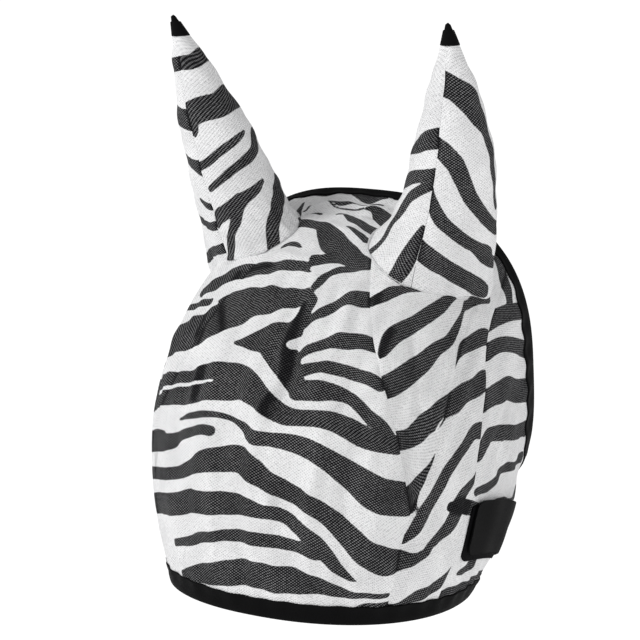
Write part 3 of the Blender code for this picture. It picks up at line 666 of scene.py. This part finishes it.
def panel(name, t_low, t_high, edges, black, white=(), dark=(), grid=GRID):
    """One cloth panel between two seams; edges(t) gives its two angles in degrees."""
    probe = np.linspace(t_low, t_high, 30)
    first, last = edges(probe)
    k = np.linspace(0, 1, 30)
    rough = skin(probe[:, None], first[:, None] + (last - first)[:, None] * k)
    rows = int(np.linalg.norm(np.diff(rough, axis=0), axis=-1).sum(0).max() / grid) + 2
    cols = int(np.linalg.norm(np.diff(rough, axis=1), axis=-1).sum(1).max() / grid) + 2
    t = np.linspace(t_low, t_high, rows)
    first, last = edges(t)
    phi = first[:, None] + (last - first)[:, None] * np.linspace(0, 1, cols)
    t = np.repeat(t[:, None], cols, 1)
    base = skin(t, phi)
    across = arc(base, 1)
    to_edge = np.minimum(across - across[:, :1], across[:, -1:] - across)
    lift = relief(base, t, np.where(phi > 180, phi - 360, phi))
    lift -= TUCK * np.exp(-(to_edge / 0.002)**2)
    out = normal(t, phi)
    middle = base + out * lift[..., None]
    q = under_ear(base)
    outside = q > EAR_HOLE
    keep = outside[:-1, :-1] | outside[1:, 1:] if (q < 1).any() else None
    stripe = np.maximum(distance(base, black, skin), -distance(base, white, skin))
    # the dark strokes (doubled cloth, and painted shade in a crease and under the right ear) and doubled
    # cloth along the seams darken the black stripes
    doubled_and_shade = np.clip(0.5 - distance(base, dark, skin) / 0.003, 0, 1)
    doubled_and_shade = DOUBLED_AND_SHADE * np.maximum(doubled_and_shade, np.exp(-(to_edge / 0.0016)**2))
    fields = {"stripe": stripe, "doubled_and_shade": doubled_and_shade}
    made = closed_sheet(name + "_cloth", middle, out, MESH, fields, keep)
    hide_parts(name)
    if name != "jaw_flap":
        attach(made, "mask")
    return made


def front_seam(t, side, first, inset):
    """Seam A or B above JOIN_T, and the nose seam below it."""
    return np.where(t >= JOIN_T, seam(first, t, side, inset), seam(SEAM_NOSE, t, side, inset))


panel("face_panel", 0, CROWN_T + CROWN_LAP, lambda t: (
    front_seam(t, -1, SEAM_A, LAP), front_seam(t, 1, SEAM_A, LAP)),
    FACE_BLACK + SIDE_BLACK[1:2], FACE_WHITE, FACE_DARK)
panel("crown_panel", CROWN_T - CROWN_LAP, 1, lambda t: (
    seam(SEAM_C, t, -1, LAP), seam(SEAM_C, t, 1, LAP)), CROWN_BLACK, CROWN_WHITE, grid=CROWN_GRID)
for name, side in (("left", 1), ("right", -1)):
    black, white = (SIDE_BLACK + TOP_BLACK, SIDE_WHITE) if side > 0 else (FACE_BLACK, FACE_WHITE)
    dark, jowl = SIDE_DARK, JOWL_BLACK + TOP_BLACK
    if side < 0:
        dark, jowl = flip(dark), flip(jowl)
    panel(name + "_eye_gusset", JOIN_T + GUSSET_START, CROWN_T + CROWN_LAP, lambda t, side=side: (
        seam(SEAM_A, t, side, 0), seam(SEAM_B, t, side, LAP)), black, white, dark)
    panel(name + "_cheek_panel", 0, CROWN_T + CROWN_LAP, lambda t, side=side: (
        front_seam(t, side, SEAM_B, 0), seam(SEAM_C, t, side, LAP)), black, white, dark)
    panel(name + "_jowl_panel", 0, 1, lambda t, side=side: (
        seam(SEAM_C, t, side, 0), seam(SEAM_JAW, t, side, -GAP)), jowl)
flap = panel("jaw_flap", 0, 1, lambda t: (
    seam(SEAM_JAW, t, 1, GAP), 360 + seam(SEAM_JAW, t, -1, GAP)), FLAP_BLACK)


# ---- Ear covers ----

def skin_height(x, y):
    """Height of the crown over a point, by Newton steps on the ring parameters."""
    t = 0.86
    phi = math.degrees(math.atan2(x, 0.11))
    for _ in range(30):
        here = skin(t, phi)
        along_t, along_phi = slopes(t, phi)
        grid = np.array([[along_t[0], along_phi[0]], [along_t[1], along_phi[1]]])
        move = np.linalg.solve(grid, [x - here[0], y - here[1]])
        t = min(max(t + max(min(move[0], 0.05), -0.05), 0.6), 1.0)
        phi += max(min(move[1], 5), -5)
    return skin(t, phi)[2]


def rim_line(ear, psi, grow):
    """Points round an ear's rim at the height of its base, for a rim grown by a factor."""
    outward, facing = ear_axes(ear)
    angle = np.radians(psi)
    k = grow * spread(ear, psi) / 2
    wide = EAR_RINGS[0][1] * np.sin(angle) * k
    deep = EAR_RINGS[0][2] * np.cos(angle) * k
    return (np.array(ear["base"]) + outward * wide[..., None] + facing * deep[..., None]) * CM


def rim_table(ear, grow):
    """Angles and the heights of the head under an ear's rim, every 10 degrees."""
    rim = rim_line(ear, np.arange(0, 360, 10), grow)
    heights = np.array([skin_height(x, y) for x, y, _ in rim])
    angles = np.arange(-360, 361, 10)
    return angles, heights[angles // 10 % 36]


def ear_point(ear, s, psi):
    """Points of an ear: s from base to tip, psi 0 at its broad face and + outward."""
    s, psi = np.broadcast_arrays(np.asarray(s, float), np.asarray(psi, float))
    outward, facing = ear_axes(ear)
    base = np.array(ear["base"])
    tip = np.array(ear["tip"])
    up = np.clip(s, 0, 1)
    psi = psi + ear["twist"] * np.clip(1 - up / 0.35, 0, 1)**1.5
    centre = base + (tip - base) * s[..., None]
    centre = centre + np.array([1.0, 0, 0]) * (ear["bow"] * 4 * s * (1 - s))[..., None]
    angle = np.radians(psi)
    drawn = 1 + (spread(ear, psi) - 1) * np.clip(1 - up / 0.4, 0, 1)**1.6
    wide = curve(EAR_RINGS, up, 1) / 2 * drawn
    deep = curve(EAR_RINGS, up, 2) / 2 * drawn
    point = centre + outward * (wide * np.sin(angle))[..., None]
    point = (point + facing * (deep * np.cos(angle))[..., None]) * CM
    drop = np.interp(psi, *ear["rim"]) - base[2] * CM
    point[..., 2] += np.where(s < 0.5, drop * (1 - np.clip(s, 0, 0.5) / 0.5)**2, 0)
    return point


def ear_normal(ear, s, psi):
    """Directions straight out of an ear cover."""
    up = ear_point(ear, np.minimum(s + 0.01, 1), psi) - ear_point(ear, np.maximum(s - 0.01, 0), psi)
    around = ear_point(ear, s, psi + 2) - ear_point(ear, s, psi - 2)
    return unit(np.cross(around, up)) * ear["side"]


def ear_flange(ear, psi):
    """Where the ear cover's seam allowance lies on the mask, a little outside the rim."""
    psi = psi + ear["twist"]
    point = rim_line(ear, psi, FLANGE)
    point[..., 2] = np.interp(psi, *ear["flange"]) + 0.0022
    return point


def ear_sheet(name, ear, start, end, black):
    """One cloth panel of an ear cover between two angles, with its seam allowance on the mask."""
    rows = 88
    cols = max(int((end - start) / 2.2), 20)
    s = np.linspace(0, CAP_S, rows)
    psi = np.linspace(start + 0.15, end - 0.15, cols)
    s, psi = np.meshgrid(s, psi, indexing="ij")
    base = ear_point(ear, s, psi)
    out = ear_normal(ear, s, psi)
    folds = np.exp(-s / 0.12) * (0.0013 * np.sin(np.radians(psi) * 9 + 0.6 + 3 * s)
                                 + 0.0009 * np.sin(np.radians(psi) * 23 + 2.0))
    waves = 0.0006 * np.sin(s * 23 + np.radians(psi) * 2) + 0.0004 * np.sin(s * 51 - np.radians(psi) * 5)
    edge = np.minimum(psi - start, end - psi) / 57 * curve(EAR_RINGS, s, 1) / 2 * CM
    lift = (folds + waves) * np.clip((CAP_S - s) / 0.1, 0, 1) - 0.0007 * np.exp(-(edge / 0.002)**2)
    middle = base + out * (lift * np.clip(s / 0.03, 0, 1) + 0.0004)[..., None]
    flange = ear_flange(ear, psi[0])
    bend = 0.55 * flange + 0.45 * middle[0] + np.array([0, 0, 0.0006])
    middle = np.concatenate([flange[None], bend[None], middle])
    turned = [unit(out[:1] + np.array([0, 0, rise])) for rise in (1.5, 0.8)]
    out = np.concatenate(turned + [out])
    stripe = distance(middle, black, lambda a, b: ear_point(ear, a, b))
    if ear["side"] > 0:      # the left cover's seam allowance is white
        stripe[:2] = np.maximum(stripe[:2], 0.002)
    edge = np.concatenate([edge[:1], edge[:1], edge])
    doubled_and_shade = 0.9 * np.exp(-(edge / 0.0016)**2)
    if ear["side"] < 0:
        middle, out, stripe, doubled_and_shade = [rows[:, ::-1] for rows in (middle, out, stripe, doubled_and_shade)]
    made = closed_sheet(name + "_cloth", middle, out, MESH, {"stripe": stripe, "doubled_and_shade": doubled_and_shade})
    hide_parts(name)
    return made


def ear_cap(name, ear):
    """Black tape cone over an ear's tip, closed at the top."""
    s = np.concatenate([np.linspace(CAP_S - 0.012, 0.985, 16), [0.995, 1.0]])
    s, psi = np.meshgrid(s, np.linspace(0, 360, 49)[:-1], indexing="ij")
    rows, cols = s.shape
    out = ear_normal(ear, s, psi)
    points = ear_point(ear, s, psi) + out * np.where(s > 0.98, 0.0002, 0.0011)[..., None]
    inner = points - out * TAPE_THICK
    top = points[-1].mean(0) + np.array([0, 0, 0.0015])
    low = inner[-1].mean(0) - np.array([0, 0, 0.0004])
    cloud = np.concatenate([points.reshape(-1, 3), [top], inner.reshape(-1, 3), [low]])
    shift = rows * cols + 1
    faces = []
    order = 1 if ear["side"] > 0 else -1
    for i in range(rows - 1):
        for j in range(cols):
            k = (j + 1) % cols
            faces.append((i * cols + j, i * cols + k, (i + 1) * cols + k, (i + 1) * cols + j)[::order])
            faces.append(tuple(shift + f for f in faces[-1])[::-1])
    for j in range(cols):
        k = (j + 1) % cols
        faces.append(((rows - 1) * cols + j, (rows - 1) * cols + k, rows * cols)[::order])
        faces.append(tuple(shift + f for f in faces[-1])[::-1])
        faces.append((j, shift + j, shift + k, k)[::order])
    cloth = np.stack([cloud[:, 0] + cloud[:, 1], cloud[:, 2], cloud[:, 0] * 0], -1)
    made = link(name + "_tape", cloud, faces, TAPE, {"cloth": cloth})
    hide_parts(name)
    return made


STRIPES = {"left": (LEFT_OUTER, LEFT_INNER), "right": (RIGHT_OUTER, RIGHT_INNER)}
for name, ear in EARS.items():
    ear["rim"] = rim_table(ear, 1.0)
    ear["flange"] = rim_table(ear, FLANGE)
    outer_black, inner_black = STRIPES[name]
    back = ear["seam"] + BACK_SEAM
    outer_seam = [(0, back, 2), (45, back, 3), (92, back, 1.2)]
    inner_seam = [(0, back - 360, 1.5), (45, back - 360, 2), (92, back - 360, 1.2)]
    sheets = [ear_sheet(name + "_ear_outer", ear, ear["seam"], back, outer_black + [outer_seam]),
              ear_sheet(name + "_ear_inner", ear, back - 360, ear["seam"], inner_black + [inner_seam])]
    inner = ear_point(ear, 0, -90)
    outer = ear_point(ear, 0, 90)
    pivot = (inner + outer) / 2
    axis = unit(outer - inner)
    rise = np.array(ear["tip"]) * CM - pivot
    rise = unit(rise - axis * (rise @ axis))
    for piece in sheets:
        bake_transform(piece)
    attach(ear_cap(name + "_ear_tip", ear), name + "_ear")


# ---- Bindings ----

def binding(name, t, low, high, reach):
    """Tape folded over the hem or the rear edge, with a rounded fold and slightly wavy legs."""
    probe = skin(np.full(200, float(t)), np.linspace(low, high, 200))
    count = int(np.linalg.norm(np.diff(probe, axis=0), axis=-1).sum() / 0.003) + 2
    phi = np.linspace(low, high, count)
    reach = np.interp(np.abs(phi), *zip(*reach)) if isinstance(reach, tuple) else reach
    tt = np.full(count, float(t))
    along_t, along_phi = slopes(tt, phi)
    out = unit(np.cross(along_phi, along_t))
    inward = -1 if t > 0.5 else 1
    away = unit(along_t) * -inward
    scale = np.linalg.norm(along_t, axis=-1)
    inside = HALF + 0.0003

    def leg(share, height):
        """A line of the tape, a share of its reach from the edge and a height off the cloth."""
        leg_t = np.clip(t + reach * share / scale * inward, 0, 1)
        here = skin(leg_t, phi)
        lift = relief(here, leg_t, np.where(phi > 180, phi - 360, phi))
        return here + normal(leg_t, phi) * (lift + height)[:, None]

    outer = []
    for side in (1, -1):
        outer.append([])
        for share in (1.0, 0.97, 0.75, 0.5, 0.25, 0.0):
            puff = TAPE_THICK * (0.45 if share > 0.98 else 1.0) + 0.0002 * math.sin(9 * share)
            outer[-1].append(leg(share, side * (inside + puff)))
    edge = skin(tt, phi)
    radius = inside + TAPE_THICK
    fold = []
    for angle in map(math.radians, (60, 25, -25, -60)):
        fold.append(edge + away * (0.0006 + radius * math.cos(angle)) + out * radius * math.sin(angle))
    inner = [[leg(share, side * inside) for share in (1.0, 0.5, 0.05)] for side in (-1, 1)]
    grid = np.stack(outer[0] + fold + outer[1][::-1] + inner[0] + inner[1][::-1], 1)
    size = grid.shape[1]
    number = np.arange(count * size).reshape(count, size)
    turned = np.roll(number, -1, axis=1)
    faces = np.stack([number[:-1], turned[:-1], turned[1:], number[1:]], -1).reshape(-1, 4).tolist()
    faces += [number[0][::-1].tolist(), number[-1].tolist()]
    along = np.repeat(arc(edge[:, None], 0), size, 1)
    across = np.repeat((np.arange(size) * 0.002)[None], count, 0)
    cloth = np.stack([along.ravel(), across.ravel(), np.zeros(count * size)], -1)
    if inward < 0:
        faces = [f[::-1] for f in faces]
    made = link(name + "_tape", grid.reshape(-1, 3), faces, TAPE, {"cloth": cloth})
    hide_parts(name)
    return made


jaw0 = float(curve(SEAM_JAW, 0))
jaw1 = float(curve(SEAM_JAW, 1))
crown1 = float(curve(SEAM_C, 1))
for name, t, low, high, reach in (
        ("nose_binding", 0, -jaw0 + HEM_END, jaw0 - HEM_END, NOSE_TAPE),
        ("crown_elastic", 1, -crown1 - 0.05, crown1 + 0.05, REAR_TAPE),
        ("left_neck_binding", 1, crown1, jaw1 - HEM_END, NECK_TAPE),
        ("right_neck_binding", 1, -jaw1 + HEM_END, -crown1, NECK_TAPE)):
    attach(binding(name, t, low, high, reach), "mask")
chin, throat = [binding(name, t, jaw + FLAP_END[0], 360 - jaw - FLAP_END[1], REAR_TAPE)
                for name, t, jaw in (("chin_binding", 0, jaw0), ("throat_binding", 1, jaw1))]


# ---- Jaw flap's hinge line, worked out but not used; the flap and its bindings are baked where they were built ----

low = skin(0.0, -jaw0)
high = skin(1.0, -jaw1)
hinge = (low + high) / 2
axis = unit(high - low)
toward = skin(0.5, 180.0) - hinge
toward = unit(toward - axis * (toward @ axis))
for piece in (flap, chin, throat):
    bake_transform(piece)


# ---- Closure ----

def closure_t(phi, across):
    """t at an angle along the closure, and across it by metres."""
    t = curve(CLOSURE_LINE, phi)
    return t + across / np.linalg.norm(slopes(t, phi)[0], axis=-1)


def tape_piece(name, width, ends, height, thick, material, drop=0.0, corner=0.006):
    """A flat tape on the mask along the closure line between two angles, with rounded corners."""
    low, high = ends
    cols = int((high - low) / 0.6) + 2
    v, share = np.meshgrid(np.linspace(-1, 1, 21), np.linspace(0, 1, cols), indexing="ij")
    past = np.clip((np.abs(v) * width / 2 - (width / 2 - corner)) / corner, 0, 1)
    cut = corner * (1 - np.sqrt(1 - past**2))
    middle_phi = (low + high) / 2
    turn = np.linalg.norm(slopes(curve(CLOSURE_LINE, middle_phi), middle_phi)[1])
    start = low + cut / turn
    phi = start + (high - cut / turn - start) * share
    t = closure_t(phi, v * width / 2 - drop)
    out = normal(t, phi)
    wave = 0.0004 * np.sin(phi * 0.35 + 1) + 0.0003 * np.sin(v * 3 + phi * 0.2)
    middle = skin(t, phi) + out * (height + thick / 2 + wave * (height > 0.003))[..., None]
    return closed_sheet(name + "_piece", middle, out, material, half=thick / 2), middle


patch, _ = tape_piece("loop_patch", 0.046, (76.5, 114), 0.0012, 0.0011, LOOP, 0.005)
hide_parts("loop_patch")
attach(patch, "mask")
pad, _ = tape_piece("hook_pad", 0.040, (80, 112), 0.0024, 0.0010, HOOK)
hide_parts("hook_pad")
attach(pad, "strap")
strap, middle = tape_piece("closure_strap", 0.044, (78, 137), 0.0036, 0.0013, WEBBING,
                           corner=0.009)
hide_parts("closure_strap", "strap_anchor")
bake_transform(strap)


# ---- Studio ----

FLOOR_HALF = 400         # half the floor's side, so that no view shows its edge
FLOOR_Z = -0.75
LAMPS = (                # name, place, size and power in watts
    ("key_light", (-1.3, -1.5, 1.6), 0.6, 33),
    ("fill_light", (1.9, -1.0, 0.6), 1.0, 7))
LAMP_AIM = (0, -0.03, -0.12)
AZIMUTH = math.radians(25)           # of the camera, from straight in front to the horse's left
ELEVATION = math.radians(14.5)
AIM = (-0.02, -0.08)                 # to the right of the poll and up from it, in the picture
DISTANCE = 1.5
LENS = 105.5


def add(name, data):
    """A new object in the scene."""
    made = bpy.data.objects.new(name, data)
    bpy.context.scene.collection.objects.link(made)
    return made


def studio():
    """Pale floor, white world and two soft lamps."""
    mesh = bpy.data.meshes.new("studio_floor")
    corners = [(x * FLOOR_HALF, y * FLOOR_HALF, FLOOR_Z) for x, y in ((-1, -1), (1, -1), (1, 1), (-1, 1))]
    mesh.from_pydata(corners, [], [(0, 1, 2, 3)])
    add("studio_floor", mesh)
    made, _, shader = nodes_of("pale_floor")
    shader.inputs["Base Color"].default_value = (0.2, 0.2, 0.2, 1)
    shader.inputs["Roughness"].default_value = 0.9
    shader.inputs["Emission Color"].default_value = (1, 1, 1, 1)
    shader.inputs["Emission Strength"].default_value = 0.96
    mesh.materials.append(made)
    world = bpy.data.worlds.new("studio_light")
    world.use_nodes = True
    background = world.node_tree.nodes["Background"]
    background.inputs["Color"].default_value = (1, 1, 1, 1)
    background.inputs["Strength"].default_value = 0.42
    bpy.context.scene.world = world
    for name, place, size, power in LAMPS:
        data = bpy.data.lights.new(name, "AREA")
        data.size = size
        data.energy = power
        lamp = add(name, data)
        lamp.location = place
        lamp.rotation_euler = (Vector(LAMP_AIM) - Vector(place)).to_track_quat("-Z", "Y").to_euler()


def camera():
    """A long lens from the horse's left front, a little above."""
    a, e = AZIMUTH, ELEVATION
    right = Vector((math.cos(a), math.sin(a), 0))
    up = Vector((-math.sin(a) * math.sin(e), math.cos(a) * math.sin(e), math.cos(e)))
    back = Vector((math.sin(a) * math.cos(e), -math.cos(a) * math.cos(e), math.sin(e)))
    target = right * AIM[0] + up * AIM[1]
    data = bpy.data.cameras.new("view")
    data.lens = LENS
    data.sensor_width = 36
    made = add("view", data)
    turn = Matrix((right, up, back)).transposed().to_4x4()
    made.matrix_world = Matrix.Translation(target + back * DISTANCE) @ turn
    bpy.context.scene.camera = made


studio()
camera()
bpy.context.scene.view_settings.view_transform = "Standard"
